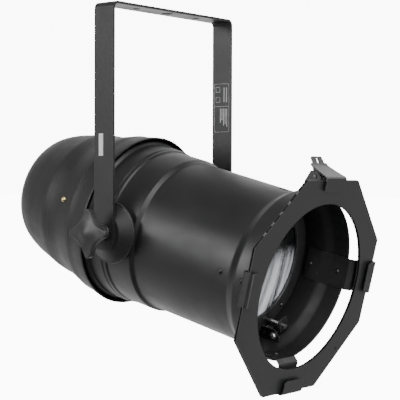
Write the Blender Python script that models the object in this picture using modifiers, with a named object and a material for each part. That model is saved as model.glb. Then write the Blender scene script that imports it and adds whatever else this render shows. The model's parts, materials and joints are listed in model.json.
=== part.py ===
"""Par can light: a spun and pressed steel stage lantern with an LED engine and a motorised zoom lens.

World frame: metres, +Z up. The origin is the middle of the top face of the yoke, where the hook clamp
bolts on. X runs along the tilt axis. The can points toward -Y, tilted down by TILT.

The head is modelled in its own frame under the empty head_axis: x across, y toward the top of the
can, z forward along the can's axis, with its origin on the tilt axis.
"""

import math

import bmesh
import bpy
from mathutils import Matrix, Vector

MM = 0.001
GAP = 0.3 * MM

# Yoke
YOKE_WIDTH = 228 * MM
YOKE_DROP = 270 * MM
STRAP_WIDTH = 30 * MM
STRAP = 3 * MM
YOKE_TAIL = 20 * MM
CLAMP_HOLE_R = 7 * MM
SIDE_HOLE_R = 4.5 * MM
SIDE_HOLE_X = 57 * MM
TILT = math.radians(14)

# Front barrel
WALL = 1.6 * MM
BARREL_R = 92.6 * MM
BAND_R = 96.2 * MM
COLLAR_R = 98.8 * MM
MOUTH_R = 99.0 * MM
MOUTH_Z = 206 * MM
BARREL_REAR_Z = -55.7 * MM

# Rear can, with the screws that hold it to the chassis ring
CAN_WALL = 2 * MM
CAN_SCREW_Z = -88 * MM
CAN_SCREW_ANGLES = (50, 170, 290)

# Colour frame and its clips
FRAME_FLATS = 250 * MM
FRAME_HOLE_R = 97.8 * MM
FRAME_SAG = 5.8 * MM
FRAME_FRONT_Z = 222.8 * MM
FRAME_DEPTH = 3.8 * MM
SHEET = 1.2 * MM
CLIP_WIDTH = 38 * MM
CLIP_REAR_RIVET_Z = 160 * MM
CLIP_FRONT_RIVET_Z = 195 * MM
CLIPS = {"clip_right": (0, 126.2), "clip_left": (180, 126.2), "clip_bottom": (270, 132.0)}

# Latch
LATCH_PIN_Y = 119.3 * MM
LATCH_PIN_Z = 204.5 * MM
LATCH_WIDTH = 40 * MM
LATCH_RIVETS_Z = (193.5 * MM, 203 * MM)

# Pivot hardware, heights measured outward from the can's axis
BOLT_R = 4 * MM
KNOB_R = 28.5 * MM
KNOB_WAIST = 14.5 * MM
KNOB_MIDDLE = 138 * MM

# Lens carriage and drive
BEZEL_Z = 149 * MM
BEZEL_SCREW_ANGLES = (-42, 78, 198)
LENS_R = 72.8 * MM
LENS_VIEW_R = 69.0 * MM
ROD_R = 3 * MM
ROD_PLACE_R = 80.5 * MM
ROD_ANGLES = {"upper": 135, "lower": 225}
SCREW_ANGLE = -62

# LED engine
CHASSIS_BACK_Z = -60.1 * MM
FAN_Z = -114 * MM
SUPPLY_Z = -140 * MM
BOARD_Z = -164 * MM

# Rear panel, seen from behind: places of what it carries, in mm
PANEL_FACE_Z = -193.7 * MM
SOCKETS = {"data_socket_in": (-16, -6), "data_socket_out": (16, -6),
           "power_socket_in": (-16, -33), "power_socket_out": (16, -33)}
BUTTONS = {"menu_button_mode": -16.5, "menu_button_enter": -5.5, "menu_button_down": 5.5,
           "menu_button_up": 16.5}
BUTTON_Y = 17
FUSE_AT = (-38, 6)
DISPLAY_Y = 35

# Finishes: name, colour, roughness, metallic
STEEL = ("painted_steel", (0.035, 0.035, 0.034), 0.45, 0.2)
DARK = ("black_plastic", (0.02, 0.02, 0.022), 0.4, 0.0)
ZINC = ("zinc_steel", (0.62, 0.61, 0.58), 0.35, 1.0)
BRASS = ("brass", (0.75, 0.6, 0.3), 0.3, 1.0)
ALU = ("aluminium", (0.7, 0.71, 0.72), 0.35, 1.0)
GLASS = ("lens_glass", (0.85, 0.9, 0.92), 0.05, 0.0)
BOARD = ("circuit_board", (0.02, 0.12, 0.05), 0.5, 0.0)
PHOSPHOR = ("led_phosphor", (0.85, 0.72, 0.2), 0.5, 0.0)
SCREEN = ("display_screen", (0.01, 0.02, 0.05), 0.1, 0.0)


# ---------------------------------------------------------------- scene helpers

def clear_scene():
    for thing in list(bpy.data.objects):
        bpy.data.objects.remove(thing)


def new_collection(name):
    collection = bpy.data.collections.new(name)
    bpy.context.scene.collection.children.link(collection)
    return collection


def material(spec):
    name, colour, roughness, metallic = spec
    found = bpy.data.materials.get(name)
    if found:
        return found
    made = bpy.data.materials.new(name)
    made.use_nodes = True
    shader = made.node_tree.nodes["Principled BSDF"]
    shader.inputs["Base Color"].default_value = (*colour, 1)
    shader.inputs["Roughness"].default_value = roughness
    shader.inputs["Metallic"].default_value = metallic
    if spec is GLASS:
        shader.inputs["Transmission Weight"].default_value = 1
    return made


def place(thing, parent, at=(0, 0, 0), turn=None):
    thing.parent = parent
    thing.location = at
    if turn is not None:
        thing.rotation_euler = turn
    return thing


def mesh_object(name, mesh, spec, parent, at=(0, 0, 0), turn=None):
    thing = bpy.data.objects.new(name, mesh)
    mesh.materials.append(material(spec))
    PARTS.objects.link(thing)
    return place(thing, parent, at, turn)


def smooth(mesh, angle=35):
    mesh.shade_smooth()
    mesh.set_sharp_from_angle(angle=math.radians(angle))


def boolean(thing, other, operation):
    cut = thing.modifiers.new(operation.title(), "BOOLEAN")
    cut.operation = operation
    cut.object = other
    cut.solver = "EXACT"
    return thing


def cutter(thing):
    thing.hide_render = True
    thing.display_type = "WIRE"
    for collection in list(thing.users_collection):
        collection.objects.unlink(thing)
    CUTTERS.objects.link(thing)
    return thing


# ---------------------------------------------------------------- shape helpers

def box_mesh(name, size, centre=(0, 0, 0)):
    shape = bmesh.new()
    bmesh.ops.create_cube(shape, size=1)
    bmesh.ops.scale(shape, vec=size, verts=shape.verts)
    bmesh.ops.translate(shape, vec=centre, verts=shape.verts)
    mesh = bpy.data.meshes.new(name)
    shape.to_mesh(mesh)
    shape.free()
    return mesh


def box(name, size, spec, parent, at=(0, 0, 0), turn=None, bevel=0.0):
    thing = mesh_object(name, box_mesh(name, size), spec, parent, at, turn)
    if bevel:
        round_edges(thing, bevel)
    return thing


def round_edges(thing, width, segments=1):
    edge = thing.modifiers.new("Bevel", "BEVEL")
    edge.width = width
    edge.segments = segments
    edge.limit_method = "ANGLE"
    return thing


def rods_mesh(name, rods, segments=16):
    """Closed cylinders in one mesh: each rod is (start, end, radius)."""
    shape = bmesh.new()
    for start, end, radius in rods:
        run = Vector(end) - Vector(start)
        spin = Vector((0, 0, 1)).rotation_difference(run).to_matrix().to_4x4()
        middle = Matrix.Translation((Vector(start) + Vector(end)) / 2)
        bmesh.ops.create_cone(shape, cap_ends=True, segments=segments, radius1=radius, radius2=radius,
                              depth=run.length, matrix=middle @ spin)
    mesh = bpy.data.meshes.new(name)
    shape.to_mesh(mesh)
    shape.free()
    return mesh


def rod(name, start, end, radius, spec, parent, segments=16):
    thing = mesh_object(name, rods_mesh(name, [(start, end, radius)], segments), spec, parent)
    smooth(thing.data)
    return thing


def drill(thing, rods, parent, segments=16):
    name = thing.name + "_drill" + str(len(thing.modifiers))
    return boolean(thing, cutter(mesh_object(name, rods_mesh(name, rods, segments), STEEL, parent)),
                   "DIFFERENCE")


def turned(name, profile, spec, parent, at=(0, 0, 0), turn=None, steps=36, closed=False):
    """Revolve (radius, z) points about Z. An outer profile runs from its top to its bottom."""
    mesh = bpy.data.meshes.new(name)
    points = [(radius, 0, height) for radius, height in profile]
    edges = [(i, i + 1) for i in range(len(points) - 1)]
    if closed:
        edges.append((len(points) - 1, 0))
    mesh.from_pydata(points, edges, [])
    thing = mesh_object(name, mesh, spec, parent, at, turn)
    screw = thing.modifiers.new("Screw", "SCREW")
    screw.axis = "Z"
    screw.steps = steps
    screw.render_steps = steps
    screw.use_merge_vertices = True
    screw.merge_threshold = 0.00001
    return thing


def shell(thing, thickness):
    """Give an open surface its sheet thickness, on the inner side."""
    skin = thing.modifiers.new("Solidify", "SOLIDIFY")
    skin.thickness = thickness
    skin.offset = -1
    skin.use_even_offset = True
    return thing


def arc(centre, radius, start, end, count):
    """Points of an arc in a plane, from start to end in degrees."""
    angles = [math.radians(start + (end - start) * i / count) for i in range(count + 1)]
    return [(centre[0] + radius * math.cos(a), centre[1] + radius * math.sin(a)) for a in angles]


def blend(start, end, count):
    """Points of a smooth S between two (radius, z) points, level at both ends."""
    points = []
    for i in range(count + 1):
        along = i / count
        ease = along * along * (3 - 2 * along)
        points.append((start[0] + (end[0] - start[0]) * ease, start[1] + (end[1] - start[1]) * along))
    return points


def plate(name, outlines, thickness, spec, parent, at=(0, 0, 0), turn=None):
    """A flat plate: the first outline is its edge, the others are holes. z=0 is its middle."""
    curve = bpy.data.curves.new(name, "CURVE")
    curve.dimensions = "2D"
    curve.fill_mode = "BOTH"
    curve.extrude = thickness / 2
    for outline in outlines:
        spline = curve.splines.new("POLY")
        spline.points.add(len(outline) - 1)
        for point, (x, y) in zip(spline.points, outline):
            point.co = (x, y, 0, 1)
        spline.use_cyclic_u = True
    flat = bpy.data.objects.new(name + "_outline", curve)
    PARTS.objects.link(flat)
    graph = bpy.context.evaluated_depsgraph_get()
    mesh = bpy.data.meshes.new_from_object(flat.evaluated_get(graph))
    mesh.name = name
    bpy.data.objects.remove(flat)
    shape = bmesh.new()
    shape.from_mesh(mesh)
    bmesh.ops.remove_doubles(shape, verts=shape.verts, dist=0.00001)
    bmesh.ops.recalc_face_normals(shape, faces=shape.faces)
    shape.to_mesh(mesh)
    shape.free()
    mesh.materials.clear()
    return mesh_object(name, mesh, spec, parent, at, turn)


def strip(name, path, thickness, spec, parent, at=(0, 0, 0), turn=None):
    """Folded sheet: path points are (y, z, half width), the width runs along x."""
    shape = bmesh.new()
    left = [shape.verts.new((-half, y, z)) for y, z, half in path]
    right = [shape.verts.new((half, y, z)) for y, z, half in path]
    for i in range(len(path) - 1):
        shape.faces.new((left[i], left[i + 1], right[i + 1], right[i]))
    mesh = bpy.data.meshes.new(name)
    shape.to_mesh(mesh)
    shape.free()
    thing = mesh_object(name, mesh, spec, parent, at, turn)
    skin = thing.modifiers.new("Solidify", "SOLIDIFY")
    skin.thickness = thickness
    skin.offset = 0
    skin.use_even_offset = True
    return thing


def scaled(points):
    """Points given in millimetres, in metres."""
    return [(r * MM, z * MM) for r, z in points]


def rectangle(half_x, half_y):
    return [(half_x, half_y), (-half_x, half_y), (-half_x, -half_y), (half_x, -half_y)]


def octagon(flats):
    corner = flats / 2 / math.cos(math.pi / 8)
    return [(corner * math.cos(math.radians(22.5 + 45 * i)), corner * math.sin(math.radians(22.5 + 45 * i)))
            for i in range(8)]


def tube(name, points, radius, spec, parent, at):
    curve = bpy.data.curves.new(name, "CURVE")
    curve.dimensions = "3D"
    curve.bevel_depth = radius
    curve.bevel_resolution = 1
    curve.use_fill_caps = True
    spline = curve.splines.new("POLY")
    spline.points.add(len(points) - 1)
    for point, co in zip(spline.points, points):
        point.co = (*co, 1)
    thing = bpy.data.objects.new(name, curve)
    curve.materials.append(material(spec))
    PARTS.objects.link(thing)
    return place(thing, parent, at)


def circle(radius, count, centre=(0, 0)):
    return arc(centre, radius, 0, 360 - 360 / count, count - 1)


def join(name, main, others):
    """Union pieces that are one part on the bench."""
    for other in others:
        boolean(main, cutter(other), "UNION")
    main.name = name
    return main


def polar(radius, degrees, z):
    angle = math.radians(degrees)
    return (radius * math.cos(angle), radius * math.sin(angle), z)


# ---------------------------------------------------------------- yoke

def build_yoke():
    bend = 8 * MM
    half = YOKE_WIDTH / 2
    left = arc((-half + bend, -bend), bend, 180, 90, 4)
    right = arc((half - bend, -bend), bend, 90, 0, 4)
    tail = -YOKE_DROP - YOKE_TAIL
    path = [(-half, tail)] + left + right + [(half, tail)]
    shape = bmesh.new()
    near = [shape.verts.new((x, -STRAP_WIDTH / 2, z)) for x, z in path]
    far = [shape.verts.new((x, STRAP_WIDTH / 2, z)) for x, z in path]
    for i in range(len(path) - 1):
        shape.faces.new((near[i], near[i + 1], far[i + 1], far[i]))
    mesh = bpy.data.meshes.new("yoke")
    shape.to_mesh(mesh)
    shape.free()
    yoke = shell(mesh_object("yoke", mesh, STEEL, None), STRAP)

    corner = 9 * MM
    edge = STRAP_WIDTH / 2
    over = 10 * MM
    outline = [(edge, over), (-edge, over)]
    outline += arc((-edge + corner, tail + corner), corner, 180, 270, 4)
    outline += arc((edge - corner, tail + corner), corner, 270, 360, 4)
    blank = plate("yoke_blank", [outline], YOKE_WIDTH + 2 * over, STEEL, None,
                  turn=(math.radians(90), 0, math.radians(90)))
    boolean(yoke, cutter(blank), "INTERSECT")

    pivot = -YOKE_DROP
    drill(yoke, [((x, 0, -over), (x, 0, over), radius)
                 for x, radius in ((0, CLAMP_HOLE_R), (-SIDE_HOLE_X, SIDE_HOLE_R),
                                   (SIDE_HOLE_X, SIDE_HOLE_R))], None, 24)
    drill(yoke, [((-half - over, 0, pivot), (half + over, 0, pivot), BOLT_R + GAP)], None, 24)
    return yoke


# ---------------------------------------------------------------- shells

def build_barrel(head):
    """Front tube: collar, band, main tube and a flared mouth, from front to rear."""
    profile = [(MOUTH_R, MOUTH_Z), (MOUTH_R, 184 * MM)]
    profile += blend((MOUTH_R, 184 * MM), (BARREL_R, 171 * MM), 4)[1:]
    profile += [(BARREL_R, 37 * MM)] + blend((BARREL_R, 37 * MM), (BAND_R, 27 * MM), 3)[1:]
    profile += [(BAND_R, -10 * MM), (97.8 * MM, -12 * MM), (97.8 * MM, -16 * MM)]
    profile += [(COLLAR_R, -18.5 * MM), (COLLAR_R, BARREL_REAR_Z)]
    barrel = shell(turned("front_barrel", profile, STEEL, head), WALL)

    reach = 110 * MM
    drill(barrel, [((-reach, 0, 0), (reach, 0, 0), BOLT_R + 0.5 * MM)], head)
    hole = 1.9 * MM
    rivets = []
    for z, inside in ((CLIP_REAR_RIVET_Z, 86 * MM), (CLIP_FRONT_RIVET_Z, 92 * MM)):
        for degrees in (0, 180, 270):
            rivets.append((polar(inside, degrees, z), polar(reach, degrees, z), hole))
    for z in LATCH_RIVETS_Z:
        rivets.append((polar(90 * MM, 90, z), polar(reach, 90, z), hole))
    drill(barrel, rivets, head, 10)
    slot = box_mesh("barrel_slot", (5 * MM, 10 * MM, 12 * MM))
    boolean(barrel, cutter(mesh_object("barrel_slot", slot, STEEL, head, (0, 92 * MM, 157 * MM))),
            "DIFFERENCE")
    return barrel


def build_rear_can(head):
    """Domed rear casing, from its front lip to the flange round the rear panel."""
    profile = [(107.5, -42), (107.0, -46), (105.4, -54), (103.9, -62), (103.2, -70), (102.2, -73),
               (100.2, -80), (97.4, -90), (94.9, -100), (93.6, -109), (93.2, -116.5), (92.3, -118),
               (91.8, -126), (89.9, -134), (88.0, -142), (86.0, -150), (83.4, -161), (80.2, -171),
               (76.6, -180), (72.5, -187), (67.5, -192.5), (61.5, -195.6), (54.0, -196)]
    can = shell(turned("rear_can", [(r * MM, z * MM) for r, z in profile], STEEL, head), CAN_WALL)
    screws = [(polar(80 * MM, degrees, CAN_SCREW_Z), polar(120 * MM, degrees, CAN_SCREW_Z), 2.4 * MM)
              for degrees in CAN_SCREW_ANGLES]
    return drill(can, screws, head, 12)


def build_can_screws(head):
    """Brass screws that hold the rear can to the chassis ring."""
    for number, degrees in enumerate(CAN_SCREW_ANGLES, 1):
        profile = [(0, 101.6), (1.8, 101.3), (3.4, 99.9), (3.4, 99.4), (2.0, 99.4), (2.0, 92.0), (0, 92.0)]
        turn = Vector(polar(1, degrees, 0)).to_track_quat("Z", "Y").to_euler()
        turned(f"can_screw_{number}", [(r * MM, z * MM) for r, z in profile], BRASS, head,
               (0, 0, CAN_SCREW_Z), turn, 12)


# ---------------------------------------------------------------- tilt pivots

def build_pivot(head, side, sign):
    """Bolt, backing plate, spacer, dished disc, washer and star knob on one end of the tilt axis."""
    turn = (0, math.radians(90 * sign), 0)
    bolt = [(0, 138), (4, 138), (4, 90.7), (8, 90.7), (8, 87), (6, 85.5), (0, 85.5)]
    turned(f"pivot_bolt_{side}", scaled(bolt), ZINC, head, (0, 0, 0), turn, 16)
    plate(f"pivot_plate_{side}", [rectangle(15 * MM, 15 * MM), circle(BOLT_R + GAP, 16)], 2 * MM, ZINC, head,
          (sign * 92 * MM, 0, 0), turn)
    spacer = [(9, 108.8), (9, 96.7), (4.4, 96.7), (4.4, 108.8)]
    turned(f"pivot_spacer_{side}", scaled(spacer), ZINC, head, (0, 0, 0), turn, 24, closed=True)
    disc = [(4.5, 110.7), (21, 110.7), (22.5, 110.0), (34.3, 102.3), (35.8, 101.8), (36.5, 101.0),
            (36.5, 99.8)]
    shell(turned(f"pivot_disc_{side}", scaled(disc), STEEL, head, (0, 0, 0), turn, 30), 1.4 * MM)

    washer = [(10, 115.9), (10, 114.3), (4.4, 114.3), (4.4, 115.9)]
    turned(f"knob_washer_{side}", scaled(washer), ZINC, head, (0, 0, 0), turn, 24, closed=True)
    build_knob(head, side, sign, turn)


def build_knob(head, side, sign, turn):
    """Four-lobed star knob on a short shank, with a blind bore for the bolt. At rest its lobes are level."""
    lobes = []
    level = -sign * TILT
    for i in range(32):
        angle = 2 * math.pi * i / 32
        reach = KNOB_WAIST + (KNOB_R - KNOB_WAIST) * (math.cos(2 * angle) ** 2) ** 1.3
        lobes.append((reach * math.cos(angle + level), reach * math.sin(angle + level)))
    knob = plate(f"star_knob_{side}", [lobes], 11 * MM, DARK, head, (sign * KNOB_MIDDLE, 0, 0), turn)
    round_edges(knob, 2.5 * MM)
    hub = turned(f"knob_hub_{side}", scaled([(0, 146.8), (6, 146.3), (10.5, 144.6), (13.5, 141), (13.5, 133),
                                             (10, 130), (9.5, 118), (9.5, 116.2), (0, 116.2)]),
                 DARK, head, (0, 0, 0), turn, 24)
    join(knob.name, knob, [hub])
    drill(knob, [((sign * 110 * MM, 0, 0), (sign * 141.5 * MM, 0, 0), BOLT_R + GAP)], head, 16)


# ---------------------------------------------------------------- colour frame, clips and latch

def build_colour_frame(head):
    """Two octagonal leaves folded from one sheet along the upper-left edge, with a slot for the gel."""
    centre = (0, -FRAME_SAG, FRAME_FRONT_Z - SHEET / 2)
    outline = octagon(FRAME_FLATS)
    pin_hole = circle(1.75 * MM, 8, (82 * MM, -81.7 * MM))
    front = plate("colour_frame", [outline, circle(FRAME_HOLE_R, 48), pin_hole], SHEET, STEEL, head, centre)
    rear_at = (0, -FRAME_SAG, FRAME_FRONT_Z - FRAME_DEPTH + SHEET / 2)
    rear = plate("colour_frame_rear_leaf", [outline, circle(FRAME_HOLE_R, 48)], SHEET, STEEL, head, rear_at)
    fold_length = FRAME_FLATS * math.tan(math.pi / 8) - 4 * MM
    side_middle = Vector(polar(FRAME_FLATS / 2 - SHEET / 2, 135, 0))
    fold_at = (side_middle.x, side_middle.y - FRAME_SAG, FRAME_FRONT_Z - FRAME_DEPTH / 2)
    turn = (0, 0, math.radians(135))
    fold = box("colour_frame_fold", (SHEET, fold_length, FRAME_DEPTH - SHEET), STEEL, head, fold_at, turn)
    join("colour_frame", front, [rear, fold])
    for step in (-2.5, -1.5, -0.5, 0.5, 1.5, 2.5):
        slot = box_mesh("fold_slot", (6 * MM, 11.9 * MM, 1.4 * MM), (0, step * 15.9 * MM, 0))
        boolean(front, cutter(mesh_object("fold_slot", slot, STEEL, head, fold_at, turn)), "DIFFERENCE")
    return front


def build_clip(head, name, degrees, floor):
    """Spring-steel clip: an arm riveted inside the barrel, and a channel that holds the frame's edge."""
    half = CLIP_WIDTH / 2
    path = [(87.9, 154), (87.9, 172), (94.6, 187), (94.6, 208.5), (99.5, 214), (floor - 2.2, 214),
            (floor, 216.2), (floor, 225.4), (floor - 1.6, 227), (floor - 17, 227)]
    turn = (0, 0, math.radians(degrees - 90))
    clip = strip(name, [(y * MM, z * MM, half) for y, z in path], SHEET, STEEL, head, (0, 0, 0), turn)
    turn = Vector(polar(1, degrees, 0)).to_track_quat("Z", "Y").to_euler()
    rivets = []
    for z, inner, outer in ((CLIP_REAR_RIVET_Z, 87.0, 92.9), (CLIP_FRONT_RIVET_Z, 93.7, 99.3)):
        rivet = [(0, outer + 1.5), (2.2, outer + 1.1), (3.2, outer), (1.5, outer), (1.5, inner),
                 (3.2, inner), (2.2, inner - 0.8), (0, inner - 1.0)]
        rivets.append(turned(f"{name}_rivet_{len(rivets)}", scaled(rivet), STEEL, head, (0, 0, z), turn, 10))
    return join(name, clip, rivets)


def build_latch(head):
    """Sprung rocker latch that closes over the top edge of the colour frame."""
    pin = Vector((0, LATCH_PIN_Y, LATCH_PIN_Z))
    half = LATCH_WIDTH / 2 / MM
    path = [(107.8, 225.3, half), (121.8, 225.3, half), (123.4, 223.5, half), (126.7, 211.5, 18.2),
            (130.3, 200.2, 16.6), (133, 197.2, 16), (133.6, 196.7, 11), (139.4, 191.6, 11)]
    lever = strip("latch_lever", [(y * MM - pin.y, z * MM - pin.z, w * MM) for y, z, w in path],
                  1.5 * MM, STEEL, head, pin)
    cheeks = []
    for number, x in enumerate((-7.5 * MM, 7.5 * MM)):
        outline = [(-3.2, -3.4), (3.2, -3.4), (5, 7.6), (-5, 11), (-8.2, 14), (-8.2, 8.6)]
        cheeks.append(plate(f"latch_cheek_{number}", [scaled(outline)], 1.5 * MM, STEEL, head,
                            pin + Vector((x, 0, 0)), (0, math.radians(-90), 0)))
    join("latch_lever", lever, cheeks)
    drill(lever, [(pin + Vector((-12 * MM, 0, 0)), pin + Vector((12 * MM, 0, 0)), 1.8 * MM)], head, 12)
    slot = mesh_object("latch_slot", box_mesh("latch_slot", (3.6 * MM, 12 * MM, 7.5 * MM)), STEEL, head,
                       (0, 135.4 * MM, 195.1 * MM), (math.radians(49), 0, 0))
    boolean(lever, cutter(slot), "DIFFERENCE")

    base_y = MOUTH_R + GAP + 0.75 * MM
    base = box("latch_bracket", (26 * MM, 1.5 * MM, 20 * MM), STEEL, head, (0, base_y, 200 * MM))
    lugs = []
    for number, x in enumerate((-11.75 * MM, 11.75 * MM)):
        outline = [(-12.5, 0), (8, 0), (8, 20.5), (2, 25), (-7.5, 25), (-12.5, 12)]
        lugs.append(plate(f"latch_lug_{number}", [scaled(outline)], 1.5 * MM, STEEL, head,
                          (x, base_y, LATCH_PIN_Z), (0, math.radians(-90), 0)))
    turn = (math.radians(-90), 0, 0)
    for z in LATCH_RIVETS_Z:
        rivet = [(0, 102.4), (2.2, 102.0), (3.0, 100.5), (1.5, 100.5), (1.5, 97.1), (3.0, 97.1),
                 (2.2, 96.4), (0, 96.2)]
        lugs.append(turned(f"latch_rivet_{len(lugs)}", scaled(rivet), STEEL, head, (0, 0, z), turn, 10))
    join("latch_bracket", base, lugs)
    drill(base, [(pin + Vector((-15 * MM, 0, 0)), pin + Vector((15 * MM, 0, 0)), 1.8 * MM)], head, 12)
    rod("latch_pin", pin + Vector((-14 * MM, 0, 0)), pin + Vector((14 * MM, 0, 0)), 1.5 * MM, ZINC, head, 12)
    build_latch_spring(head, pin)


def build_latch_spring(head, pin):
    """Torsion spring wound round the latch pin between the cheeks."""
    coil = 3.4 * MM
    turns = 4
    length = 9 * MM
    count = turns * 10
    points = []
    for i in range(count + 1):
        angle = 2 * math.pi * i / 10
        points.append((-length / 2 + length * i / count, coil * math.cos(angle), coil * math.sin(angle)))
    points.insert(0, (points[0][0], coil, -8 * MM))
    points.append((points[-1][0], coil, 9 * MM))
    tube("latch_spring", points, 0.45 * MM, ZINC, head, pin)


# ---------------------------------------------------------------- optics and zoom drive

def build_carriage(head):
    """Bezel with the lens, which slides along the can on two rods and is driven by a lead screw."""
    top = BEZEL_Z
    bezel = [(87.5, 0), (87.5, -2.2), (75.2, -2.2), (75.2, -18), (73.2, -18), (73.2, -2.6),
             (LENS_VIEW_R / MM, -2.6), (LENS_VIEW_R / MM, 1.2), (70.6, 1.2), (70.6, 0)]
    bezel = turned("lens_bezel", scaled(bezel), STEEL, head, (0, 0, top), None, 36, closed=True)
    holes = [(polar(ROD_PLACE_R, degrees, -5 * MM), polar(ROD_PLACE_R, degrees, 5 * MM), ROD_R + 0.4 * MM)
             for degrees in ROD_ANGLES.values()]
    holes.append((polar(ROD_PLACE_R, SCREW_ANGLE, -5 * MM), polar(ROD_PLACE_R, SCREW_ANGLE, 5 * MM),
                  ROD_R + 0.4 * MM))
    for degrees in BEZEL_SCREW_ANGLES:
        holes.append((polar(80.5 * MM, degrees, -5 * MM), polar(80.5 * MM, degrees, 5 * MM), 1.9 * MM))
    name = "lens_bezel_holes"
    boolean(bezel, cutter(mesh_object(name, rods_mesh(name, holes, 12), STEEL, head, (0, 0, top))),
            "DIFFERENCE")
    lens = [(0, -2.9), (LENS_R / MM, -2.9), (LENS_R / MM, -6.5), (60, -11.2), (42, -15.8), (22, -18.6),
            (0, -19.5)]
    turned("lens", scaled(lens), GLASS, head, (0, 0, top), None, 36)
    retainer = [(72.9, -7.8), (72.9, -11.5), (70.3, -11.5), (70.3, -7.8)]
    turned("lens_retainer", scaled(retainer), DARK, head, (0, 0, top), None, 30, closed=True)
    for number, degrees in enumerate(BEZEL_SCREW_ANGLES, 1):
        screw = [(0, 2.2), (1.6, 2.0), (2.7, 1.2), (2.7, 0.3), (1.5, 0.3), (1.5, -7), (0, -7)]
        turned(f"bezel_screw_{number}", scaled(screw), ZINC, head, polar(80.5 * MM, degrees, top), None, 10)
    plate("drive_nut", [rectangle(4.8 * MM, 6 * MM), circle(ROD_R + GAP, 16)], 8 * MM, BRASS, head,
          polar(ROD_PLACE_R, SCREW_ANGLE, top - 6.6 * MM), (0, 0, math.radians(SCREW_ANGLE)))


def build_zoom_drive(head):
    """Two guide rods, and the lead screw with its motor at the rear end."""
    for name, degrees in ROD_ANGLES.items():
        rear = polar(ROD_PLACE_R, degrees, -55.5 * MM)
        front = polar(ROD_PLACE_R, degrees, 153 * MM)
        rod(f"guide_rod_{name}", rear, front, ROD_R, ZINC, head)
    at = polar(ROD_PLACE_R, SCREW_ANGLE, 0)
    screw = rods_mesh("lead_screw", [((0, 0, -22 * MM), (0, 0, 176 * MM), ROD_R)], 16)
    lead = mesh_object("lead_screw", screw, ZINC, head, at)
    smooth(lead.data)
    motor_size = (22 * MM, 22 * MM, 30 * MM)
    box("zoom_motor", motor_size, DARK, head, polar(ROD_PLACE_R - 3 * MM, SCREW_ANGLE, -38.7 * MM),
        (0, 0, math.radians(SCREW_ANGLE)), 1.5 * MM)
    build_zoom_bracket(head)


def build_zoom_bracket(head):
    """Pressed bracket on the barrel's inner wall that carries the front end of the lead screw."""
    turn = (0, 0, math.radians(SCREW_ANGLE - 90))
    path = [(87.6, 158), (87.6, 172.4), (70, 172.4)]
    bracket = strip("zoom_bracket", [(y * MM, z * MM, 8 * MM) for y, z in path], 1.5 * MM, STEEL, head,
                    (0, 0, 0), turn)
    centre = polar(ROD_PLACE_R, SCREW_ANGLE, 0)
    drill(bracket, [((centre[0], centre[1], 165 * MM), (centre[0], centre[1], 180 * MM), ROD_R + 0.4 * MM)],
          head, 16)
    face = Vector(polar(1, SCREW_ANGLE, 0)).to_track_quat("Z", "Y").to_euler()
    screw = [(0, 86.6), (3.0, 86.6), (3.0, 84.9), (0, 84.5)]
    turned("bracket_screw", scaled(screw), ZINC, head, (0, 0, 163 * MM), face, 10)


def build_engine(head):
    """Chassis plate with the LED module and reflector in front, the heatsink and fan behind."""
    chassis = [(100.3, -56), (100.3, -58), (95.6, -58), (92.8, -78), (89.5, -96), (88.0, -96), (91.3, -78),
               (93.9, -59.8), (12, -59.8), (12, -56)]
    turned("chassis_plate", scaled(chassis), ALU, head, closed=True)
    box("led_module", (34 * MM, 34 * MM, 2.5 * MM), ALU, head, (0, 0, -54.2 * MM), None, 0.4 * MM)
    turned("led_emitter", scaled([(0, -50.6), (9, -51.2), (11, -52.6), (0, -52.6)]), PHOSPHOR, head,
           (0, 0, 0), None, 24)
    reflector = [(48, -5), (47, -14), (40, -32), (28, -46), (22, -52.2)]
    shell(turned("reflector", scaled(reflector), ALU, head, (0, 0, 0), None, 30), 1.2 * MM)

    fins = 9
    width = 110 * MM
    pitch = width / fins
    fin = 2.4 * MM
    base = 6 * MM
    tall = 42 * MM
    outline = [(-width / 2, 0), (width / 2, 0)]
    for i in range(fins):
        right = width / 2 - i * pitch
        left = right - fin if i < fins - 1 else -width / 2
        outline += [(right, -tall), (left, -tall)]
        if i < fins - 1:
            outline += [(left, -base), (width / 2 - (i + 1) * pitch, -base)]
    plate("heatsink", [outline], 100 * MM, ALU, head, (0, 0, CHASSIS_BACK_Z), (math.radians(90), 0, 0))

    corner = 44 * MM
    plate("fan_housing", [rectangle(corner, corner), circle(41 * MM, 40)], 20 * MM, DARK, head, (0, 0, FAN_Z))
    build_fan_rotor(head)


def build_fan_rotor(head):
    hub = turned("fan_rotor", scaled([(0, 8), (15, 8), (17, 6), (17, -8), (0, -8)]), DARK, head,
                 (0, 0, FAN_Z), None, 24)
    blades = []
    for number in range(7):
        degrees = 360 / 7 * number
        at = Vector(polar(26.5 * MM, degrees, FAN_Z))
        twist = Matrix.Rotation(math.radians(degrees), 3, "Z") @ Matrix.Rotation(math.radians(35), 3, "X")
        blades.append(box(f"fan_blade_{number}", (23 * MM, 15 * MM, 1.4 * MM), DARK, head, at,
                          twist.to_euler()))
    join("fan_rotor", hub, blades)


# ---------------------------------------------------------------- rear electronics and panel

def build_electronics(head):
    box("power_supply", (104 * MM, 62 * MM, 22 * MM), ALU, head, (0, 0, SUPPLY_Z), None, 1 * MM)
    box("control_board", (76 * MM, 60 * MM, 1.6 * MM), BOARD, head, (0, 0, BOARD_Z))


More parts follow.
